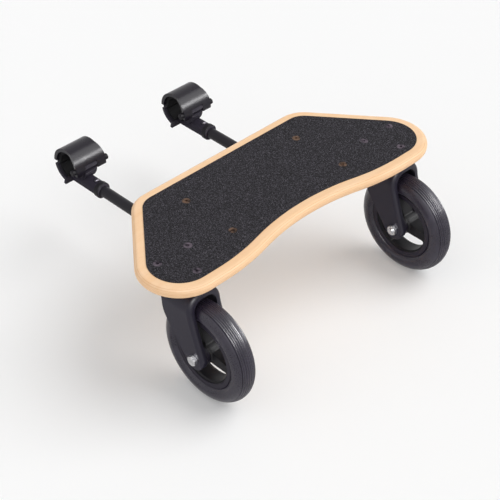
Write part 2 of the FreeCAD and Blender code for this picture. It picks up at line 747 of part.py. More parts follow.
def sector(inner, outer, start, finish, half):
    """Part of a tube round the clamp's bore, from one angle to another in degrees."""

    def at(radius, degrees):
        turn = math.radians(degrees)
        return clamp_point(-half, radius * math.cos(turn), radius * math.sin(turn))

    middle = (start + finish) / 2.0
    edges = [Part.Arc(at(outer, start), at(outer, middle), at(outer, finish)),
             Part.LineSegment(at(outer, finish), at(inner, finish)),
             Part.Arc(at(inner, finish), at(inner, middle), at(inner, start)),
             Part.LineSegment(at(inner, start), at(outer, start))]
    outline = Part.Wire([edge.toShape() for edge in edges])
    return Part.Face(outline).extrude(V(2 * half, 0, 0))


def hinge_bar(radius, start, length):
    """A round bar on the lid's hinge axis."""
    return cylinder(radius, length, clamp_point(start, HINGE_Y, HINGE_Z), ALONG_X)


def lug(side, low):
    """A rounded lug at the clamp's front for one closing screw."""
    base = clamp_point(side * LUG_X, LUG_Y, low)
    block = Part.makeBox(2 * LUG_R, LUG_Y - LID_IN_R + LUG_ROOT, LUG_HEIGHT,
                         clamp_point(side * LUG_X - LUG_R, LID_IN_R - LUG_ROOT, low))
    return cylinder(LUG_R, LUG_HEIGHT, base, ALONG_Z).fuse(block)


def lid_plan():
    """The lid seen from above: straight ends that flare to an ear at each end of the hinge."""
    right = [(LID_HALF, 2 * CLAMP_R), (LID_HALF, EAR_START_Y),
             (EAR_HALF, EAR_END_Y), (EAR_HALF, -2 * CLAMP_R)]
    left =[(-along, forward) for along, forward in reversed(right)]
    points = [clamp_point(along, forward, -CLAMP_R) for along, forward in right + left]
    ends = [0, EAR_ROUND, EAR_ROUND, 0]
    return prism(points, ends + ends, V(0, 0, 2 * CLAMP_R))


def make_clamp_lid():
    """Hinged upper half of the clamp."""
    lid = sector(LID_IN_R, CLAMP_R, LID_START, LID_END, EAR_HALF).common(lid_plan())
    knuckle_length = EAR_HALF - KNUCKLE_HALF - FACE_GAP
    starts = (-EAR_HALF, KNUCKLE_HALF + FACE_GAP)
    lid = lid.fuse([hinge_bar(KNUCKLE_R, start, knuckle_length) for start in starts])
    lid = lid.fuse([lug(side, LUG_LID_LOW) for side in (-1, 1)])
    notch_half = KNUCKLE_HALF + FACE_GAP
    notch_top = HINGE_Z + KNUCKLE_R + 2 * FACE_GAP
    notch = Part.makeBox(2 * notch_half, LINER_R, CLAMP_R,
                         clamp_point(-notch_half, HINGE_Y - LINER_R / 2, notch_top - CLAMP_R))
    passage = cylinder(LINER_R + FACE_GAP, 2 * EAR_HALF, clamp_point(-EAR_HALF, 0, 0), ALONG_X)
    lid = lid.cut(notch).cut(passage)
    lid = lid.cut(hinge_bar(HINGE_PIN_R + RUN_GAP, -EAR_HALF, 2 * EAR_HALF))
    for side in (-1, 1):
        below = clamp_point(side * LUG_X, LUG_Y, -LUG_HEIGHT)
        lid = lid.cut(cylinder(CLAMP_SCREW_R + HOLE_GAP, CLAMP_R, below, ALONG_Z))
        seat = clamp_point(side * LUG_X, LUG_Y, LUG_LID_LOW + LUG_HEIGHT)
        lid = lid.cut(cylinder(CLAMP_SCREW_HEAD_R + FACE_GAP, CLAMP_R, seat, ALONG_Z))
    bore = sector(LINER_R, LID_IN_R, LID_LINER_START, LID_BORE_END, EAR_HALF)
    return [lid.cut(bore).removeSplitter()]


def make_lid_liner():
    """Rubber pad inside the lid, with a lip that hangs down over the gap at the front."""
    return [sector(LINER_R, LID_IN_R, LID_LINER_START, LID_LINER_END, LINER_HALF)]


def make_jaw_liner():
    """Rubber pad inside the fixed jaw, with a narrow tail up the neck."""
    pad = sector(LINER_R, JAW_IN_R, JAW_LINER_STEP, JAW_LINER_END, LINER_HALF)
    tail = sector(LINER_R, JAW_IN_R, JAW_LINER_START, JAW_LINER_STEP, JAW_LINER_TAIL)
    return [pad.fuse(tail).removeSplitter()]


def make_clamp_screws():
    """Two socket-head screws that close the clamp."""
    screws = []
    for side in (-1, 1):
        base = clamp_point(side * LUG_X, LUG_Y, 0)
        seat = LUG_LID_LOW + LUG_HEIGHT
        tip = CLAMP_SCREW_TIP
        top = seat + CLAMP_SCREW_HEAD
        head_r = CLAMP_SCREW_HEAD_R
        screw = turned([(top, 0), (top, head_r - EDGE_BREAK), (top - EDGE_BREAK, head_r),
                        (seat, head_r), (seat, CLAMP_SCREW_R), (tip + 1, CLAMP_SCREW_R),
                        (tip, CLAMP_SCREW_R - 1), (tip, 0)], base, ALONG_Z)
        socket = base + V(0, 0, top - CLAMP_SOCKET_DEPTH)
        screws.append(screw.cut(hexagon(CLAMP_SOCKET, CLAMP_SCREW_HEAD, socket, ALONG_Z)))
    return screws


def make_clamp_body():
    """Fixed lower jaw in one moulding with the sleeve that takes the arm."""
    jaw = sector(JAW_IN_R, CLAMP_R, JAW_START, JAW_END, JAW_HALF)
    neck = sector(JAW_IN_R, CLAMP_R - NECK_INSET, NECK_TOP, NECK_BOTTOM, KNUCKLE_HALF)
    knuckle = hinge_bar(KNUCKLE_R, -KNUCKLE_HALF, 2 * KNUCKLE_HALF)
    tab = sector(CLAMP_R - NECK_INSET, TAB_REACH, JAW_START, TAB_END, JAW_HALF)
    sleeve = turned([(SLEEVE_MOUTH_Y, 0), (SLEEVE_MOUTH_Y, SLEEVE_R - EDGE_BREAK),
                     (SLEEVE_MOUTH_Y + EDGE_BREAK, SLEEVE_R), (SLEEVE_ROOT_Y, SLEEVE_R),
                     (SLEEVE_ROOT_Y, 0)], V(ARM_X, 0, ARM_LOW_Z), ALONG_Y)
    body = jaw.fuse([neck, tab, sleeve] + [lug(side, LUG_JAW_LOW) for side in (-1, 1)])
    body = body.cut(cylinder(JAW_IN_R, 2 * EAR_HALF, clamp_point(-EAR_HALF, 0, 0), ALONG_X))
    body = body.fuse(knuckle)
    body = body.cut(cylinder(TUBE_R + RUN_GAP, ARM_FRONT_Y + FACE_GAP - SLEEVE_MOUTH_Y,
                             V(ARM_X, SLEEVE_MOUTH_Y, ARM_LOW_Z), ALONG_Y))
    body = body.cut(cylinder(BUTTON_R + FACE_GAP, 2 * SLEEVE_R, V(ARM_X, BUTTON_Y, ARM_LOW_Z), ALONG_Z))
    body = body.cut(hinge_bar(HINGE_PIN_R + PRESS_GAP, -EAR_HALF, 2 * EAR_HALF))
    for side in (-1, 1):
        slot_r = CLAMP_SCREW_R + SLOT_GAP
        base = clamp_point(side * LUG_X, LUG_Y, -CLAMP_R)
        body = body.cut(cylinder(slot_r, CLAMP_R, base, ALONG_Z))
        body = body.cut(Part.makeBox(2 * slot_r, LINER_R, CLAMP_R, base - V(slot_r, 0, 0)))
    return [body.removeSplitter()]


def make_hinge_pin():
    """Hinge pin that stands out at both ends."""
    half = EAR_HALF + FACE_GAP + CAP_LENGTH + PIN_TAIL
    return [hinge_bar(HINGE_PIN_R, -half, 2 * half)]


def make_hinge_caps():
    """Push-on caps that keep the hinge pin in place."""
    start = EAR_HALF + FACE_GAP
    caps = []
    for side in (-1, 1):
        axis = ALONG_X * side
        base = clamp_point(side * start, HINGE_Y, HINGE_Z)
        inner = HINGE_PIN_R + PRESS_GAP
        caps.append(turned([(0, inner), (0, CAP_R), (CAP_LENGTH - CAP_ROUND, CAP_R),
                            (CAP_LENGTH, CAP_R - CAP_ROUND), (CAP_LENGTH, inner)], base, axis))
    return caps


def make_sleeve_collar():
    """Collar ring that stiffens the sleeve's mouth."""
    start = SLEEVE_MOUTH_Y + EDGE_BREAK
    inner = SLEEVE_R + PRESS_GAP
    return [turned([(0, inner), (0, COLLAR_R - EDGE_BREAK), (EDGE_BREAK, COLLAR_R),
                    (COLLAR_LENGTH - EDGE_BREAK, COLLAR_R), (COLLAR_LENGTH, COLLAR_R - EDGE_BREAK),
                    (COLLAR_LENGTH, inner)], V(ARM_X, start, ARM_LOW_Z), ALONG_Y)]


def make_release_button():
    """Snap button that stands out through the tube and the sleeve."""
    top = SLEEVE_R + BUTTON_PROUD
    flange_top = BUTTON_LOW + BUTTON_FLANGE
    return [turned([(BUTTON_LOW, 0), (BUTTON_LOW, BUTTON_FLANGE_R), (flange_top, BUTTON_FLANGE_R),
                    (flange_top, BUTTON_R), (top - BUTTON_DOME, BUTTON_R),
                    (top - BUTTON_DOME * 0.35, BUTTON_R * 0.82), (top, BUTTON_R * 0.35), (top, 0)],
                   V(ARM_X, BUTTON_Y, ARM_LOW_Z), ALONG_Z)]


def make_button_spring():
    """Leaf spring bent like a hairpin inside the tube, under the button."""
    low = SPRING_FLOOR
    high = BUTTON_LOW - PRESS_GAP
    thick = SPRING_THICK
    bend = BUTTON_Y - SPRING_BACK
    front = BUTTON_Y + SPRING_FRONT
    inner_bend = SPRING_BEND - SPRING_THICK

    def at(forward, up):
        return V(ARM_X - SPRING_WIDTH / 2, forward, ARM_LOW_Z + up)

    points = [at(front, low), at(front, low + thick), at(bend + thick, low + thick),
              at(bend + thick, SPRING_KNEE - thick), at(front, high - thick), at(front, high),
              at(bend, SPRING_KNEE), at(bend, low)]
    rounds = [0, 0, inner_bend, inner_bend, 0, 0, SPRING_BEND, SPRING_BEND]
    return [prism(points, rounds, V(SPRING_WIDTH, 0, 0))]


def main():
    """Build and write every node."""
    os.makedirs("parts", exist_ok=True)
    save("deck", make_deck())
    save("grip_sheet", make_grip())
    save("arm_screws", make_arm_screws())
    save("arm_saddles", make_arm_saddles())
    save("arm_nuts", make_arm_nuts())
    save("caster_screws", make_caster_screws())
    pairs = [("arm", make_arm), ("arm_plug", make_arm_plug), ("caster_plate", make_caster_plate),
             ("kingpin_nut", make_kingpin_nut), ("swivel_bearings", make_swivel_bearings),
             ("fork", make_fork), ("axle_bolt", make_axle_bolt), ("axle_nut", make_axle_nut),
             ("axle_spacers", make_axle_spacers), ("hub_bearings", make_hub_bearings),
             ("rim", make_rim), ("tyre", make_tyre), ("clamp_body", make_clamp_body),
             ("clamp_lid", make_clamp_lid), ("lid_liner", make_lid_liner), ("jaw_liner", make_jaw_liner),
             ("clamp_screws", make_clamp_screws), ("hinge_pin", make_hinge_pin),
             ("hinge_caps", make_hinge_caps), ("sleeve_collar", make_sleeve_collar),
             ("release_button", make_release_button), ("button_spring", make_button_spring)]
    for name, make in pairs:
        save_pair(name, make)


main()
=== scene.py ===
"""Looks of a ride-on board for behind a pushchair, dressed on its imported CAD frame.

Shapes are drawn in millimetres of the CAD frame and written in metres.
Finishes and the studio are in metres throughout.
"""
import json
import logging
import math
from dataclasses import dataclass, field
from enum import Enum
from typing import Any, Callable

import bmesh
import bpy
from mathutils import Matrix, Vector


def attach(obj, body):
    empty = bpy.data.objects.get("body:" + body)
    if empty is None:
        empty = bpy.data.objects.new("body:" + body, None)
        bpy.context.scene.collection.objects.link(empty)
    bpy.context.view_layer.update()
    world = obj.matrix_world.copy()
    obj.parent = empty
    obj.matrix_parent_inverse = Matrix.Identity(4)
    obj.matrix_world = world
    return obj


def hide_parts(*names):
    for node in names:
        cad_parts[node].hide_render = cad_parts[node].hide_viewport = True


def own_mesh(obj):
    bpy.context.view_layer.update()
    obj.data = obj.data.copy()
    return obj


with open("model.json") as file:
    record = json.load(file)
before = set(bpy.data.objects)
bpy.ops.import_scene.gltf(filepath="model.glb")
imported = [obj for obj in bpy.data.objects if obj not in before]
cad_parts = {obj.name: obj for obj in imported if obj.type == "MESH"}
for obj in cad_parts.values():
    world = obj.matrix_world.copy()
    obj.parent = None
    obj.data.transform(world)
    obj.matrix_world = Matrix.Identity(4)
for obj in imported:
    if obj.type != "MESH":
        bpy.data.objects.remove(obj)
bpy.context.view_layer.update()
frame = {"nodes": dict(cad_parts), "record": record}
LOG = logging.getLogger("ride_on_board")
MM = 0.001
ALONG_X = Vector((1.0, 0.0, 0.0))
ALONG_Y = Vector((0.0, 1.0, 0.0))
ALONG_Z = Vector((0.0, 0.0, 1.0))
PLAIN_WHITE = (1.0, 1.0, 1.0, 1.0)
# Turns between two faces, in degrees: an edge worth rounding, and the most that is shaded smooth
EDGE_TURN = 32.0
SMOOTH_TURN = 38.0
# Faces across a round that shows from close by
FINE_ROUND = 3
# What the patterns add to a roughness on average, taken off its base again
ROUGH_TRIM = 0.06
Triple = tuple[float, float, float]
Colour = tuple[float, float, float]
Span = tuple[float, float]


class Side(Enum):
    """The two sides of the board; the value is the sign of X."""

    LEFT = -1
    RIGHT = 1

    @property
    def word(self) -> str:
        """The side's name as it ends a node's name."""
        return self.name.lower()


def at(x: float, y: float, z: float) -> Any:
    """A dataclass field that holds a point or a direction."""
    return field(default_factory=lambda: Vector((x, y, z)))


def linear(red: int, green: int, blue: int) -> Colour:
    """Turn a display colour of 0 to 255 into linear light.

    Args:
        red: Red channel.
        green: Green channel.
        blue: Blue channel.

    Returns:
        The three linear channels.
    """
    def channel(value: int) -> float:
        """One channel in linear light, by the sRGB curve."""
        share = value / 255.0
        return share / 12.92 if share <= 0.04045 else ((share + 0.055) / 1.055) ** 2.4

    return channel(red), channel(green), channel(blue)


class Sock:
    """A number socket that takes part in Python arithmetic."""

    def __init__(self, kit: "NodeKit", socket: bpy.types.NodeSocket) -> None:
        self.kit = kit
        self.socket = socket

    def __add__(self, other: "Sock | float") -> "Sock":
        """Sum."""
        return self.kit.math("ADD", self, other)

    def __radd__(self, other: float) -> "Sock":
        """Sum with a plain number on the left."""
        return self.kit.math("ADD", other, self)

    def __sub__(self, other: "Sock | float") -> "Sock":
        """Difference."""
        return self.kit.math("SUBTRACT", self, other)

    def __rsub__(self, other: float) -> "Sock":
        """Difference with a plain number on the left."""
        return self.kit.math("SUBTRACT", other, self)

    def __mul__(self, other: "Sock | float") -> "Sock":
        """Product."""
        return self.kit.math("MULTIPLY", self, other)

    def __rmul__(self, other: float) -> "Sock":
        """Product with a plain number on the left."""
        return self.kit.math("MULTIPLY", other, self)

    def __pow__(self, other: "Sock | float") -> "Sock":
        """Power."""
        return self.kit.math("POWER", self, other)

    def fraction(self) -> "Sock":
        """The part after the decimal point."""
        return self.kit.math("FRACT", self)

    def size(self) -> "Sock":
        """The value without its sign."""
        return self.kit.math("ABSOLUTE", self)

    def above(self, low: float, high: float) -> "Sock":
        """A soft step from 0 at low to 1 at high."""
        made = self.kit.node("ShaderNodeMapRange", {"interpolation_type": "SMOOTHSTEP"},
                             {"Value": self, "From Min": low, "From Max": high})
        return self.kit.out(made)


@dataclass(frozen=True)
class Pattern:
    """A noise: blobs per metre along X, Y and Z, its octaves and how strong the fine ones are."""

    scale: Triple
    detail: float = 2.0
    rough: float = 0.5

    @classmethod
    def even(cls, scale: float, detail: float = 2.0, rough: float = 0.5) -> "Pattern":
        """A noise with the same scale along every axis."""
        return cls((scale, scale, scale), detail, rough)


class NodeKit:
    """A node tree, with one method that makes any node."""

    def __init__(self, tree: bpy.types.NodeTree) -> None:
        """Take over an emptied tree."""
        self.tree = tree

    @classmethod
    def empty(cls, owner: bpy.types.Material | bpy.types.World) -> "NodeKit":
        """Turn on an owner's nodes and take over its emptied tree.

        Args:
            owner: A material or a world.
        """
        owner.use_nodes = True
        owner.node_tree.nodes.clear()
        return cls(owner.node_tree)

    def node(self, kind: str, settings: dict[str, Any] | None = None,
             inputs: dict[Any, Any] | None = None) -> bpy.types.Node:
        """Add a node, set it up and feed its sockets.

        Args:
            kind: The node's type.
            settings: Attributes, which are set first.
            inputs: Values or sockets by input name or number.

        Returns:
            The node.
        """
        made = self.tree.nodes.new(kind)
        for name, value in (settings or {}).items():
            setattr(made, name, value)
        self.feed(made, inputs or {})
        return made

    def feed(self, made: bpy.types.Node, inputs: dict[Any, Any]) -> None:
        """Link or set a node's inputs.

        Args:
            made: The node.
            inputs: Values or sockets by input name or number.
        """
        for key, value in inputs.items():
            if isinstance(value, Sock):
                self.tree.links.new(value.socket, made.inputs[key])
            else:
                made.inputs[key].default_value = value

    def out(self, made: bpy.types.Node, key: int | str = 0) -> Sock:
        """One output of a node, ready for arithmetic."""
        return Sock(self, made.outputs[key])

    def math(self, operation: str, first: Sock | float, second: Sock | float | None = None) -> Sock:
        """Add one Math node and return its result."""
        inputs = {0: first} if second is None else {0: first, 1: second}
        return self.out(self.node("ShaderNodeMath", {"operation": operation}, inputs))

    def coords(self) -> Sock:
        """Object coordinates in metres."""
        return self.out(self.node("ShaderNodeTexCoord"), "Object")

    def place(self, scale: Triple) -> Sock:
        """Object coordinates, stretched for a pattern of so many units per metre."""
        return self.out(self.node("ShaderNodeMapping", None, {"Vector": self.coords(), "Scale": scale}))

    def axes(self) -> tuple[Sock, Sock, Sock]:
        """Object X, Y and Z in metres, as three numbers."""
        split = self.node("ShaderNodeSeparateXYZ", None, {0: self.coords()})
        return self.out(split, 0), self.out(split, 1), self.out(split, 2)

    def noise(self, pattern: Pattern) -> Sock:
        """Smooth noise of about 0 to 1.

        Args:
            pattern: Its scale, octaves and roughness.

        Returns:
            The noise.
        """
        made = self.node("ShaderNodeTexNoise", None, {
            "Vector": self.place(pattern.scale), "Scale": 1.0, "Detail": pattern.detail,
            "Roughness": pattern.rough})
        return self.out(made)

    def grains(self, scale: float) -> tuple[Sock, Sock]:
        """Scattered cells.

        Args:
            scale: Cells per metre.

        Returns:
            A random value for each cell, and the distance from its middle.
        """
        cells = self.node("ShaderNodeTexVoronoi", None,
                          {"Vector": self.place((scale, scale, scale)), "Scale": 1.0})
        split = self.node("ShaderNodeSeparateColor", None, {0: self.out(cells, "Color")})
        return self.out(split), self.out(cells, "Distance")

    def blend(self, share: Sock | float, first: Sock | Colour, second: Sock | Colour) -> Sock:
        """Mix two colours.

        Args:
            share: Share of the second colour, 0 to 1.
            first: One colour.
            second: The other colour.

        Returns:
            The mixed colour.
        """
        def full(colour: Sock | Colour) -> Any:
            """A colour with its alpha, or the socket itself."""
            return colour if isinstance(colour, Sock) else (*colour, 1.0)

        made = self.node("ShaderNodeMix", {"data_type": "RGBA"},
                         {0: share, 6: full(first), 7: full(second)})
        return self.out(made, 2)

    def mix_shaders(self, share: Sock, first: bpy.types.Node, second: bpy.types.Node) -> Sock:
        """Mix two shaders by the share of the second."""
        return self.out(self.node("ShaderNodeMixShader", None,
                                  {0: share, 1: self.out(first), 2: self.out(second)}))

    def bump(self, height: Sock, depth: float, strength: float) -> Sock:
        """A bumped normal from a height of 0 to 1, with its depth in metres."""
        return self.out(self.node("ShaderNodeBump", None,
                                  {"Height": height, "Distance": depth, "Strength": strength}))


@dataclass(frozen=True)
class Finish:
    """A surface finish that builds its own node material."""

    slot: str

    def material(self) -> bpy.types.Material:
        """Make the finish's material on first use.

        Returns:
            The material.
        """
        name = "finish_" + self.slot
        known = bpy.data.materials.get(name)
        if known:
            return known
        made = bpy.data.materials.new(name)
        kit = NodeKit.empty(made)
        shader = kit.node("ShaderNodeBsdfPrincipled")
        kit.node("ShaderNodeOutputMaterial", None, {"Surface": kit.out(shader)})
        kit.feed(shader, self.wire(kit))
        return made

    def wire(self, kit: NodeKit) -> dict[str, Any]:
        """Values and sockets for the shader's inputs; each finish has its own."""
        raise NotImplementedError


@dataclass(frozen=True)
class LacqueredMaple(Finish):
    """Pale maple veneers under clear lacquer, with the plies showing on the rounded edge."""

    pale: Colour = linear(249, 214, 177)
    deep: Colour = linear(242, 198, 152)
    glue: Colour = linear(218, 156, 100)
    sanded: Colour = linear(251, 209, 165)
    bottom: float = 176.5 * MM
    pitch: float = 15.0 / 7 * MM
    round_span: Span = (186.0 * MM, 190.6 * MM)
    seam_span: Span = (0.02, 0.10)
    cross_span: Span = (0.24, 0.26)
    bands: Pattern = Pattern((5.0, 75.0, 40.0), 3.0, 0.55)
    band_span: Span = (0.30, 0.72)
    fibres: Pattern = Pattern((40.0, 1300.0, 700.0), 2.0, 0.6)
    flecks: Pattern = Pattern((160.0, 900.0, 900.0), 1.0, 0.5)
    fleck_span: Span = (0.62, 0.72)
    band_share: float = 0.62
    fibre_share: float = 0.30
    fleck_share: float = 0.16
    sanded_share: float = 0.75
    cross_share: float = 0.32
    seam_share: float = 0.60
    fibre_relief: float = 0.6
    band_relief: float = 0.4
    seam_relief: float = 0.5
    depth: float = 0.06 * MM
    strength: float = 0.5
    rough: float = 0.46
    rough_swing: float = 0.14
    coat: float = 0.06
    coat_rough: float = 0.30
    shine: float = 0.2

    def wire(self, kit: NodeKit) -> dict[str, Any]:
        """Grain along X, ply layers by height, and a thin glue line between layers.

        Args:
            kit: The material's nodes.

        Returns:
            What the shader's inputs take.
        """
        height = kit.axes()[2]
        layer = (height - self.bottom) * (1.0 / self.pitch) + 0.5
        seam = 1.0 - (0.5 - (layer.fraction() - 0.5).size()).above(*self.seam_span)
        cross = ((layer * 0.5).fraction() - 0.5).size().above(*self.cross_span)
        bands = kit.noise(self.bands)
        fibres = kit.noise(self.fibres)
        flecks = kit.noise(self.flecks).above(*self.fleck_span)
        rounded = 1.0 - height.above(*self.round_span)
        grain = bands.above(*self.band_span) * self.band_share + fibres * self.fibre_share
        wood = kit.blend(grain, self.pale, self.deep)
        wood = kit.blend(flecks * self.fleck_share, wood, self.glue)
        # Painted light: the rounded edge below the top is mixed towards a brighter, warmer colour that
        # stands in for light falling on it.
        wood = kit.blend(rounded * self.sanded_share, wood, self.sanded)
        wood = kit.blend(cross * self.cross_share, wood, self.deep)
        wood = kit.blend(seam * self.seam_share, wood, self.glue)
        relief = fibres * self.fibre_relief + bands * self.band_relief - seam * self.seam_relief
        return {"Base Color": wood, "Roughness": fibres * self.rough_swing + self.rough,
                "Coat Weight": self.coat, "Coat Roughness": self.coat_rough,
                "Specular IOR Level": self.shine, "Normal": kit.bump(relief, self.depth, self.strength)}


@dataclass(frozen=True)
class GritSheet(Finish):
    """Black sheet faced with fine mineral grit, with a few glints painted into its colour."""

    base: Colour = linear(15, 14, 17)
    pale: Colour = linear(67, 64, 71)
    spark: Colour = linear(150, 146, 154)
    fine_scale: float = 1900.0
    coarse_scale: float = 1200.0
    cloud: Pattern = Pattern.even(28.0, 3.0)
    fine_share: float = 0.35
    coarse_power: float = 2.5
    coarse_share: float = 1.80
    cloud_share: float = 0.20
    share_drop: float = 0.42
    spark_span: Span = (0.95, 0.99)
    spark_share: float = 0.28
    coarse_relief: float = 0.8
    depth: float = 0.30 * MM
    strength: float = 0.9
    rough: float = 0.62
    rough_swing: float = 0.25
    shine: float = 0.12

    def wire(self, kit: NodeKit) -> dict[str, Any]:
        """Single grains, rare glints painted in as pale cells, and a faint cloudiness over the sheet.

        Args:
            kit: The material's nodes.

        Returns:
            What the shader's inputs take.
        """
        value, distance = kit.grains(self.fine_scale)
        coarse = kit.grains(self.coarse_scale)[0]
        cloud = kit.noise(self.cloud)
        facets = coarse ** self.coarse_power * self.coarse_share
        share = value * self.fine_share + facets + cloud * self.cloud_share - self.share_drop
        colour = kit.blend(share, self.base, self.pale)
        # Painted highlight: a few cells are mixed towards a pale colour as glints on the grit.
        colour = kit.blend(coarse.above(*self.spark_span) * self.spark_share, colour, self.spark)
        relief = 1.0 - distance + coarse * self.coarse_relief
        return {"Base Color": colour, "Roughness": value * self.rough_swing + self.rough,
                "Specular IOR Level": self.shine, "Normal": kit.bump(relief, self.depth, self.strength)}


@dataclass(frozen=True)
class MouldedNylon(Finish):
    """Black moulded plastic with a fine spark-eroded grain."""

    base: Colour = linear(23, 21, 26)
    rough: float = 0.46
    grain: float = 900.0
    depth: float = 0.05 * MM
    shine: float = 0.28
    strength: float = 0.6
    grain_detail: float = 2.0
    grain_rough: float = 0.6
    drift: Pattern = Pattern.even(22.0, 3.0)
    rubbed: Pattern = Pattern.even(70.0, 4.0, 0.65)
    rubbed_span: Span = (0.52, 0.74)
    paler: float = 1.7
    paler_by: float = 0.003
    drift_share: float = 0.5
    grain_share: float = 0.25
    rough_swing: float = 0.14
    rubbed_polish: float = 0.06

    def wire(self, kit: NodeKit) -> dict[str, Any]:
        """Fine grain, slow colour drift and rubbed, smoother patches.

        Args:
            kit: The material's nodes.

        Returns:
            What the shader's inputs take.
        """
        fine = kit.noise(Pattern.even(self.grain, self.grain_detail, self.grain_rough))
        drift = kit.noise(self.drift)
        rubbed = kit.noise(self.rubbed).above(*self.rubbed_span)
        pale = tuple(min(1.0, channel * self.paler + self.paler_by) for channel in self.base)
        share = drift * self.drift_share + fine * self.grain_share
        rough = fine * self.rough_swing + (self.rough - ROUGH_TRIM) - rubbed * self.rubbed_polish
        return {"Base Color": kit.blend(share, self.base, pale), "Roughness": rough,
                "Specular IOR Level": self.shine, "Normal": kit.bump(fine, self.depth, self.strength)}


@dataclass(frozen=True)
class Rubber(Finish):
    """Black rubber, a little dusty, with a faint moulded skin."""

    base: Colour = linear(34, 29, 43)
    dust: Colour = linear(73, 67, 86)
    rough: float = 0.29
    shine: float = 0.44
    skin: Pattern = Pattern.even(700.0, 3.0, 0.6)
    patches: Pattern = Pattern.even(35.0, 4.0, 0.6)
    patch_span: Span = (0.42, 0.80)
    patch_share: float = 0.30
    skin_share: float = 0.16
    patch_rough: float = 0.05
    skin_rough: float = 0.10
    depth: float = 0.04 * MM
    strength: float = 0.5

    def wire(self, kit: NodeKit) -> dict[str, Any]:
        """Dust in soft patches over a fine skin.

        Args:
            kit: The material's nodes.

        Returns:
            What the shader's inputs take.
        """
        skin = kit.noise(self.skin)
        patches = kit.noise(self.patches).above(*self.patch_span)
        colour = kit.blend(patches * self.patch_share + skin * self.skin_share, self.base, self.dust)
        rough = patches * self.patch_rough + skin * self.skin_rough + (self.rough - ROUGH_TRIM)
        return {"Base Color": colour, "Roughness": rough, "Specular IOR Level": self.shine,
                "Normal": kit.bump(skin, self.depth, self.strength)}


@dataclass(frozen=True)
class MouldedRim(Finish):
    """Black moulded rim, darker inside as painted shade and paler on its two lips."""

    barrel: Colour = linear(12, 10, 15)
    lip: Colour = linear(40, 35, 48)
    middle: float = 190.5 * MM
    lip_span: Span = (11.2 * MM, 12.8 * MM)
    fine: Pattern = Pattern.even(900.0, 2.0, 0.6)
    drift: Pattern = Pattern.even(30.0, 3.0)
    lip_share: float = 0.7
    drift_share: float = 0.4
    fine_share: float = 0.12
    rough: float = 0.40
    rough_swing: float = 0.14
    lip_polish: float = 0.06
    shine: float = 0.2
    depth: float = 0.05 * MM
    strength: float = 0.6

    def wire(self, kit: NodeKit) -> dict[str, Any]:
        """The lips by their distance from the wheel's middle plane, over a fine grain.

        Args:
            kit: The material's nodes.

        Returns:
            What the shader's inputs take.
        """
        out = (kit.axes()[0].size() - self.middle).size().above(*self.lip_span)
        fine = kit.noise(self.fine)
        drift = kit.noise(self.drift)
        # Painted shade: away from its lips the rim is mixed towards a near-black, standing in for the shade
        # inside the wheel; the lips keep a paler black.
        colour = kit.blend(out * (drift * self.drift_share + self.lip_share), self.barrel, self.lip)
        colour = kit.blend(fine * self.fine_share, colour, self.lip)
        rough = fine * self.rough_swing + self.rough - out * self.lip_polish
        return {"Base Color": colour, "Roughness": rough, "Specular IOR Level": self.shine,
                "Normal": kit.bump(fine, self.depth, self.strength)}


@dataclass(frozen=True)
class PowderCoat(Finish):
    """Black powder coat on steel, with its slight orange peel."""

    base: Colour = linear(20, 18, 25)
    rough: float = 0.42
    peel: Pattern = Pattern.even(420.0, 1.0)
    speckle: Pattern = Pattern.even(1600.0, 1.0)
    speckle_span: Span = (0.55, 0.75)
    paler: float = 2.2
    speckle_share: float = 0.35
    peel_share: float = 0.2
    rough_swing: float = 0.12
    shine: float = 0.22
    depth: float = 0.06 * MM
    strength: float = 0.5

    def wire(self, kit: NodeKit) -> dict[str, Any]:
        """Orange peel in the normal and a faint speckle in the colour.

        Args:
            kit: The material's nodes.

        Returns:
            What the shader's inputs take.
        """
        peel = kit.noise(self.peel)
        speckle = kit.noise(self.speckle).above(*self.speckle_span)
        pale = tuple(channel * self.paler for channel in self.base)
        colour = kit.blend(speckle * self.speckle_share + peel * self.peel_share, self.base, pale)
        rough = peel * self.rough_swing + (self.rough - ROUGH_TRIM)
        return {"Base Color": colour, "Roughness": rough, "Specular IOR Level": self.shine,
                "Normal": kit.bump(peel, self.depth, self.strength)}


@dataclass(frozen=True)
class PlatedMetal(Finish):
    """Plated steel with fine tool marks and dull spots, which on the screws are strong pale and dark
    patches: painted highlight and shade of a broken glint.
    """

    base: Colour = linear(214, 214, 216)
    dull: Colour = linear(150, 150, 154)
    rough: float = 0.28
    patchy: float = 0.45
    marks: Pattern = Pattern((2600.0, 2600.0, 500.0), 2.0, 0.6)
    cloud: Pattern = Pattern.even(180.0, 3.0)
    cloud_span: Span = (0.35, 0.75)
    mark_share: float = 0.2
    mark_rough: float = 0.14
    cloud_rough: float = 0.10
    depth: float = 0.03 * MM
    strength: float = 0.4

    def wire(self, kit: NodeKit) -> dict[str, Any]:
        """Fine marks across the piece and cloudy, duller plating, which at full share paints a broken glint.

        Args:
            kit: The material's nodes.

        Returns:
            What the shader's inputs take.
        """
        marks = kit.noise(self.marks)
        cloud = kit.noise(self.cloud).above(*self.cloud_span)
        colour = kit.blend(cloud * self.patchy + marks * self.mark_share, self.base, self.dull)
        rough = marks * self.mark_rough + cloud * self.cloud_rough + (self.rough - ROUGH_TRIM)
        return {"Base Color": colour, "Metallic": 1.0, "Roughness": rough,
                "Normal": kit.bump(marks, self.depth, self.strength)}


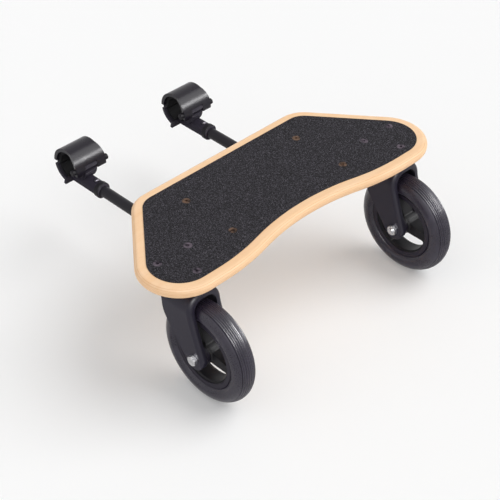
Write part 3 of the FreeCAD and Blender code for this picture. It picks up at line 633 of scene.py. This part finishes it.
class Finishes:
    """Every finish of the board, by the record's slot name."""

    def __init__(self) -> None:
        """Set up the finishes."""
        made: list[Finish] = [
            LacqueredMaple("maple_ply"),
            GritSheet("grit_sheet"),
            # Painted highlight and shade: on both screw heads the patches go fully between a pale and a dark
            # colour, standing in for a broken glint round the head.
            PlatedMetal("bronze_screws", linear(108, 86, 72), linear(34, 28, 26), rough=0.48, patchy=1.0),
            PlatedMetal("black_screws", linear(98, 89, 98), linear(30, 27, 33), rough=0.48, patchy=1.0),
            PlatedMetal("zinc_steel"),
            PlatedMetal("bearing_steel", linear(176, 176, 180), linear(112, 112, 118), rough=0.24),
            PlatedMetal("nickel_button", linear(104, 101, 108), linear(66, 64, 70), rough=0.24),
            PlatedMetal("spring_steel", linear(168, 168, 172), linear(110, 110, 116), rough=0.34),
            MouldedNylon("black_nylon"),
            MouldedNylon("fork_nylon", linear(25, 21, 36), rough=0.44, grain=1100.0, depth=0.04 * MM),
            MouldedRim("rim_nylon"),
            MouldedNylon("sleeve_nylon", linear(33, 29, 40), rough=0.56, shine=0.14),
            MouldedNylon("lid_nylon", linear(18, 14, 24), rough=0.29, grain=1300.0, depth=0.03 * MM),
            MouldedNylon("cap_nylon", linear(20, 18, 23), rough=0.50, shine=0.14),
            Rubber("tyre_rubber"),
            Rubber("liner_rubber", linear(12, 11, 14), linear(26, 25, 29), rough=0.66, shine=0.12),
            PowderCoat("arm_paint"),
            PowderCoat("black_steel", linear(20, 19, 23), rough=0.46),
        ]
        self.by_slot = {finish.slot: finish for finish in made}
        self.node_slot = {part["node"]: part["material_slot"] for part in frame["record"]["subparts"]}

    def of_node(self, node: str) -> Finish:
        """The finish of a CAD node."""
        return self.by_slot[self.node_slot[node]]


class Workpiece:
    """One mesh under construction, in millimetres of the CAD frame."""

    DRAWN_MERGE = 0.0005
    NODE_MERGE = 0.002
    FLAT_TURN = 0.2

    def __init__(self, name: str) -> None:
        """Start an empty mesh."""
        self.name = name
        self.bm = bmesh.new()

    def chain(self, start: Vector) -> "Chain":
        """Start a chain of edges at a point."""
        return Chain(self.bm, start)

    def turn(self, chain: "Chain", centre: Vector, axis: Vector, steps: int) -> None:
        """Turn a chain a full circle, close its seam and poles, and point its faces outwards.

        Args:
            chain: The section.
            centre: A point on the axis.
            axis: Direction of the axis.
            steps: Faces round the circle.
        """
        bmesh.ops.spin(self.bm, geom=chain.verts + chain.edges, cent=centre, axis=axis,
                       angle=math.tau, steps=steps, use_merge=True)
        bmesh.ops.remove_doubles(self.bm, verts=self.bm.verts, dist=self.DRAWN_MERGE)
        bmesh.ops.recalc_face_normals(self.bm, faces=self.bm.faces)

    def take_node(self, node: str) -> None:
        """Copy a CAD node's mesh, merged and with its flat faces made whole.

        Args:
            node: CAD node.
        """
        self.bm.from_mesh(frame["nodes"][node].data)
        bmesh.ops.scale(self.bm, vec=(1.0 / MM,) * 3, verts=self.bm.verts)
        bmesh.ops.remove_doubles(self.bm, verts=self.bm.verts, dist=self.NODE_MERGE)
        bmesh.ops.dissolve_limit(self.bm, angle_limit=math.radians(self.FLAT_TURN), verts=self.bm.verts,
                                 edges=self.bm.edges, delimit={"NORMAL"})

    def soften(self, radius: float, segments: int, sharp: float) -> None:
        """Round every sharp edge.

        Args:
            radius: Width of the round in millimetres.
            segments: Faces across the round.
            sharp: Smallest turn between two faces that counts as an edge, in degrees.
        """
        least = math.radians(sharp)
        edges = [edge for edge in self.bm.edges
                 if len(edge.link_faces) == 2 and edge.calc_face_angle(0.0) > least]
        bmesh.ops.bevel(self.bm, geom=edges, offset=radius, offset_type="OFFSET", segments=segments,
                        profile=0.5, affect="EDGES", material=-1, clamp_overlap=True, loop_slide=True)

    def mirror(self) -> None:
        """Turn a right-hand piece into a left-hand one."""
        bmesh.ops.scale(self.bm, vec=(-1.0, 1.0, 1.0), verts=self.bm.verts)
        bmesh.ops.reverse_faces(self.bm, faces=self.bm.faces)

    def object(self, finish: Finish, smooth: float = SMOOTH_TURN) -> bpy.types.Object:
        """Write the mesh in metres and dress it.

        Args:
            finish: The piece's finish.
            smooth: Largest turn that is shaded smooth, in degrees.

        Returns:
            The new object, at the origin.
        """
        bmesh.ops.scale(self.bm, vec=(MM,) * 3, verts=self.bm.verts)
        mesh = bpy.data.meshes.new(self.name)
        self.bm.to_mesh(mesh)
        self.bm.free()
        mesh.shade_smooth()
        mesh.set_sharp_from_angle(angle=math.radians(smooth))
        mesh.materials.append(finish.material())
        made = bpy.data.objects.new(self.name, mesh)
        bpy.context.scene.collection.objects.link(made)
        return made


class Chain:
    """A run of edges drawn by lines and arcs."""

    def __init__(self, bm: bmesh.types.BMesh, start: Vector) -> None:
        """Begin at a point.

        Args:
            bm: The mesh that is drawn in.
            start: The first point.
        """
        self.bm = bm
        self.verts = [bm.verts.new(start)]
        self.edges: list[bmesh.types.BMEdge] = []

    def line(self, *points: Vector) -> None:
        """Go straight on to each point in turn.

        Args:
            points: The points.
        """
        for point in points:
            made = self.bm.verts.new(point)
            self.edges.append(self.bm.edges.new((self.verts[-1], made)))
            self.verts.append(made)

    def arc(self, centre: Vector, axis: Vector, degrees: float, steps: int) -> None:
        """Go round a centre by an angle.

        Args:
            centre: Centre of the arc.
            axis: Axis of the turn.
            degrees: Angle of the arc.
            steps: Edges along it.
        """
        before = set(self.bm.edges)
        bmesh.ops.spin(self.bm, geom=[self.verts[-1]], cent=centre, axis=axis,
                       angle=math.radians(degrees), steps=steps, use_merge=False)
        fresh = [edge for edge in self.bm.edges if edge not in before]
        while fresh:
            step = next(edge for edge in fresh if self.verts[-1] in edge.verts)
            fresh.remove(step)
            self.edges.append(step)
            self.verts.append(step.other_vert(self.verts[-1]))

    def shut(self) -> None:
        """Join the last point to the first."""
        self.edges.append(self.bm.edges.new((self.verts[-1], self.verts[0])))


class Dresser:
    """Puts pieces on their bodies and reports them."""

    def __init__(self, finishes: Finishes) -> None:
        """Keep the finishes and the nodes' bodies at hand."""
        self.finishes = finishes
        self.bodies = {node: body for body, nodes in frame["record"]["behaviour"]["bodies"].items()
                       for node in nodes}

    def stand_for(self, piece: bpy.types.Object, node: str) -> None:
        """Let a piece stand for a CAD node: it rides on the node's body and hides the node.

        Args:
            piece: The piece.
            node: CAD node.
        """
        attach(piece, self.bodies[node])
        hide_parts(node)
        LOG.info("%s stands for %s on %s", piece.name, node, self.bodies[node])

    def soft_copy(self, node: str, radius: float, segments: int = 2,
                  sharp: float = EDGE_TURN) -> bpy.types.Object:
        """Replace a node by a copy with rounded edges.

        Args:
            node: CAD node.
            radius: Width of the round in millimetres; 0 only smooths the shading.
            segments: Faces across the round.
            sharp: Smallest turn that counts as an edge, in degrees.

        Returns:
            The new piece.
        """
        work = Workpiece(node + "_shown")
        work.take_node(node)
        if radius > 0.0:
            work.soften(radius, segments, sharp)
        made = work.object(self.finishes.of_node(node))
        self.stand_for(made, node)
        made.modifiers.new("flat_faces", "WEIGHTED_NORMAL").keep_sharp = True
        return made

    def pair(self, stem: str, make: Callable[[Workpiece], None], smooth: float = SMOOTH_TURN) -> None:
        """Make a piece for both sides that stands for a pair of nodes.

        Args:
            stem: The nodes' name without its side.
            make: Draws the right-hand piece.
            smooth: Largest turn that is shaded smooth, in degrees.
        """
        for side in Side:
            node = f"{stem}_{side.word}"
            work = Workpiece(node + "_shown")
            make(work)
            if side is Side.LEFT:
                work.mirror()
            self.stand_for(work.object(self.finishes.of_node(node), smooth), node)

    def paint(self, node: str) -> None:
        """Give a CAD node that keeps its own shape its finish.

        Args:
            node: CAD node.
        """
        shown = frame["nodes"][node]
        material = self.finishes.of_node(node).material()
        if not shown.data.materials:
            shown.data.materials.append(material)
        for place in shown.material_slots:
            place.material = material
        LOG.info("%s keeps its CAD shape", node)


@dataclass
class Wheel:
    """A caster wheel: tyre with tread lines on a spoked rim."""

    centre: Vector = at(190.5, -160.8, 75.0)
    radius: float = 75.0
    section_r: float = 17.0
    lip_r: float = 51.02
    bead_half: float = 13.0
    bead_round: float = 0.8
    wall_r: float = 56.66
    seat_r: float = 46.62
    seat_half: float = 9.98
    ribs: int = 8
    rib_pitch: float = 3.1
    rib_depth: float = 0.95
    crown_steps: int = 220
    turns: int = 144
    tyre_smooth: float = 50.0
    rim_edge: float = 0.6
    bearing_edge: float = 0.15

    def tyre(self, work: Workpiece) -> None:
        """Round section with fine ribs round the crown, drawn in to its beads and turned about the axle.

        Args:
            work: The right tyre's mesh.
        """
        ring_r = self.radius - self.section_r
        reach = math.acos((self.wall_r - ring_r) / self.section_r)
        core = self.centre + ALONG_Z * ring_r
        inner = self.centre + ALONG_Z * self.lip_r
        seat = self.centre + ALONG_Z * self.seat_r
        flat = ALONG_X * (self.bead_half - self.bead_round)
        bead = ALONG_X * self.bead_half
        wall = ALONG_X * (self.section_r * math.sin(reach))
        lift = ALONG_Z * self.bead_round
        half = ALONG_X * self.seat_half
        chain = work.chain(inner - flat)
        chain.line(inner - bead + lift, self.centre + ALONG_Z * self.wall_r - wall)
        chain.arc(core, ALONG_Y, 2.0 * math.degrees(reach), self.crown_steps)
        for vert in chain.verts:
            away = vert.co - core
            along = self.section_r * math.atan2(away.x, away.z) / self.rib_pitch + self.ribs / 2.0
            if away.z > 0.0 and 0.0 < along < self.ribs:
                drop = self.rib_depth * (1.0 - math.sin(math.pi * (along % 1.0)))
                bmesh.ops.translate(work.bm, verts=[vert], vec=away.normalized() * -drop)
        chain.line(inner + bead + lift, inner + flat, inner + half, seat + half, seat - half, inner - half)
        chain.shut()
        work.turn(chain, self.centre, ALONG_X, self.turns)

    def build(self, dresser: Dresser) -> None:
        """Make both wheels.

        Args:
            dresser: Places the pieces.
        """
        dresser.pair("tyre", self.tyre, self.tyre_smooth)
        for side in Side:
            dresser.soft_copy("rim_" + side.word, self.rim_edge)
            dresser.soft_copy("hub_bearings_" + side.word, self.bearing_edge)


@dataclass
class Caster:
    """A caster's fork and its fixings."""

    fork_edge: float = 1.4
    bolt_edge: float = 0.35
    nut_edge: float = 0.3
    plain: tuple[str, ...] = ("caster_plate", "kingpin_nut", "swivel_bearings", "axle_spacers")

    def build(self, dresser: Dresser) -> None:
        """Dress both casters.

        Args:
            dresser: Places the pieces.
        """
        for side in Side:
            dresser.soft_copy("fork_" + side.word, self.fork_edge, FINE_ROUND)
            dresser.soft_copy("axle_bolt_" + side.word, self.bolt_edge)
            dresser.soft_copy("axle_nut_" + side.word, self.nut_edge)
            for stem in self.plain:
                dresser.paint(f"{stem}_{side.word}")


@dataclass
class Deck:
    """The plywood deck, its grip sheet and its screws."""

    grip_edge: float = 0.35
    screw_edge: float = 0.8

    def build(self, dresser: Dresser) -> None:
        """Dress the deck.

        Args:
            dresser: Places the pieces.
        """
        dresser.soft_copy("deck", 0.0)
        dresser.soft_copy("grip_sheet", self.grip_edge)
        dresser.soft_copy("arm_screws", self.screw_edge, FINE_ROUND)
        dresser.soft_copy("caster_screws", self.screw_edge, FINE_ROUND)
        dresser.paint("arm_saddles")
        dresser.paint("arm_nuts")


@dataclass
class Arm:
    """A bent arm with its clamp and sleeve."""

    tube_edge: float = 0.3
    lid_edge: float = 1.1
    body_edge: float = 0.7
    button_edge: float = 0.4
    button_sharp: float = 20.0
    collar_edge: float = 0.3
    screw_edge: float = 0.3
    plain: tuple[str, ...] = ("arm_plug", "lid_liner", "jaw_liner", "hinge_pin")
    hinge: Vector = at(101.5, 177.5, 146.3)
    cap_from: float = 26.5
    cap_to: float = 31.6
    cap_r: float = 4.4
    cap_round: float = 1.2
    cap_steps: int = 4
    cap_turns: int = 40
    foot: Vector = at(103.0, 161.5, 111.7)
    leaf_height: float = 8.0
    travel: float = 3.0

    def caps(self, work: Workpiece) -> None:
        """Two closed caps with domed ends over the hinge pin.

        Args:
            work: The right caps' mesh.
        """
        tall = ALONG_Z * self.cap_r
        for end in (ALONG_X, -ALONG_X):
            base = self.hinge + end * self.cap_from
            rim = self.hinge + end * (self.cap_to - self.cap_round)
            chain = work.chain(base)
            chain.line(base + tall, rim + tall)
            chain.arc(rim + ALONG_Z * (self.cap_r - self.cap_round), ALONG_Y * end.x, 90.0, self.cap_steps)
            chain.line(self.hinge + end * self.cap_to)
            work.turn(chain, self.hinge, ALONG_X, self.cap_turns)

    def build(self, dresser: Dresser) -> None:
        """Dress both arms.

        Args:
            dresser: Places the pieces.
        """
        dresser.pair("hinge_caps", self.caps)
        for side in Side:
            dresser.soft_copy("arm_" + side.word, self.tube_edge)
            dresser.soft_copy("clamp_lid_" + side.word, self.lid_edge, FINE_ROUND)
            dresser.soft_copy("clamp_body_" + side.word, self.body_edge)
            dresser.soft_copy("release_button_" + side.word, self.button_edge, FINE_ROUND, self.button_sharp)
            dresser.soft_copy("sleeve_collar_" + side.word, self.collar_edge)
            dresser.soft_copy("clamp_screws_" + side.word, self.screw_edge)
            for stem in self.plain:
                dresser.paint(f"{stem}_{side.word}")
            self.spring(dresser, side)

    def spring(self, dresser: Dresser, side: Side) -> None:
        """The leaf spring under a button, as a smooth-shaded copy with a mesh of its own.

        Args:
            dresser: Places the pieces.
            side: Which arm.
        """
        leaf = dresser.soft_copy("button_spring_" + side.word, 0.0)
        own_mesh(leaf)


@dataclass(frozen=True)
class Lamp:
    """One soft lamp: its power, its width in degrees as the object sees it, and where it stands."""

    name: str
    power: float
    spread: float
    source: Triple
    gloss_only: bool = False

    def build(self) -> None:
        """Hang the lamp; one for gloss alone doesn't light matt faces."""
        data = bpy.data.lights.new(self.name, "SUN")
        data.energy = self.power
        data.angle = math.radians(self.spread)
        made = bpy.data.objects.new(self.name, data)
        made.rotation_euler = Vector(self.source).to_track_quat("Z", "Y").to_euler()
        made.visible_diffuse = not self.gloss_only
        bpy.context.scene.collection.objects.link(made)


@dataclass
class Studio:
    """Pale floor, soft light and the camera of the picture."""

    floor_half: float = 9.0
    floor_colour: Colour = (0.935, 0.935, 0.935)
    glow: float = 1.0
    glow_share: float = 0.18
    sky: float = 0.44
    white: float = 0.955
    lamps: tuple[Lamp, ...] = (
        Lamp("key_light", 1.78, 50.0, (0.52, -0.40, 0.80)),
        Lamp("fill_light", 0.74, 120.0, (-0.75, -0.35, 0.55)),
        Lamp("strip_light", 1.8, 16.0, (0.55, -0.66, 0.51), gloss_only=True),
        Lamp("strip_light", 3.2, 16.0, (-0.42, -0.68, 0.60), gloss_only=True),
        Lamp("strip_light", 3.2, 16.0, (-0.42, -0.46, 0.78), gloss_only=True),
    )
    camera_place: Vector = at(-1.1299, -1.1864, 1.3472)
    camera_right: Vector = at(0.7123, -0.7019, 0.0)
    camera_up: Vector = at(0.4383, 0.4448, 0.7812)
    camera_back: Vector = at(-0.5483, -0.5564, 0.6244)
    lens: float = 106.6
    sensor: float = 36.0
    near: float = 0.05
    far: float = 60.0

    @staticmethod
    def shown(kit: NodeKit) -> Sock:
        """Pick out the rays that show the background.

        Args:
            kit: The nodes of the floor or the sky.

        Returns:
            1 for rays from the camera, off gloss or through glass, and otherwise 0.
        """
        rays = kit.node("ShaderNodeLightPath")
        camera, gloss, glass = (kit.out(rays, name)
                                for name in ("Is Camera Ray", "Is Glossy Ray", "Is Transmission Ray"))
        return camera + gloss + glass

    def floor(self) -> None:
        """A broad pale floor that stays out of the model."""
        bm = bmesh.new()
        bmesh.ops.create_grid(bm, x_segments=1, y_segments=1, size=self.floor_half)
        mesh = bpy.data.meshes.new("studio_floor")
        bm.to_mesh(mesh)
        bm.free()
        made = bpy.data.objects.new("studio_floor", mesh)
        material = bpy.data.materials.new("studio_floor")
        kit = NodeKit.empty(material)
        matt = kit.node("ShaderNodeBsdfDiffuse", None, {"Color": (*self.floor_colour, 1.0)})
        glow = kit.node("ShaderNodeEmission", None, {"Color": PLAIN_WHITE, "Strength": self.glow})
        both = kit.mix_shaders(self.shown(kit) * self.glow_share, matt, glow)
        kit.node("ShaderNodeOutputMaterial", None, {"Surface": both})
        mesh.materials.append(material)
        bpy.context.scene.collection.objects.link(made)

    def light(self) -> None:
        """Even sky light, a soft key from the right, a weak fill from the left and strips for gloss."""
        world = bpy.data.worlds.new("studio_sky")
        kit = NodeKit.empty(world)
        sky, white = (kit.node("ShaderNodeBackground", None, {"Color": PLAIN_WHITE, "Strength": strength})
                      for strength in (self.sky, self.white))
        both = kit.mix_shaders(self.shown(kit), sky, white)
        kit.node("ShaderNodeOutputWorld", None, {"Surface": both})
        bpy.context.scene.world = world
        for lamp in self.lamps:
            lamp.build()

    def camera(self) -> None:
        """The camera at the picture's place."""
        data = bpy.data.cameras.new("picture_camera")
        data.lens = self.lens
        data.sensor_width = self.sensor
        data.clip_start = self.near
        data.clip_end = self.far
        made = bpy.data.objects.new("picture_camera", data)
        turn = Matrix((self.camera_right, self.camera_up, self.camera_back)).transposed()
        made.matrix_world = Matrix.Translation(self.camera_place) @ turn.to_4x4()
        bpy.context.scene.collection.objects.link(made)
        bpy.context.scene.camera = made

    def build(self) -> None:
        """Set the whole studio up."""
        bpy.context.scene.view_settings.view_transform = "Standard"
        self.floor()
        self.light()
        self.camera()


def main() -> None:
    """Build every part of the scene in order."""
    logging.basicConfig(level=logging.INFO, format="%(name)s: %(message)s")
    dresser = Dresser(Finishes())
    Studio().build()
    Deck().build(dresser)
    Wheel().build(dresser)
    Caster().build(dresser)
    Arm().build(dresser)


if __name__ == "__main__":
    main()
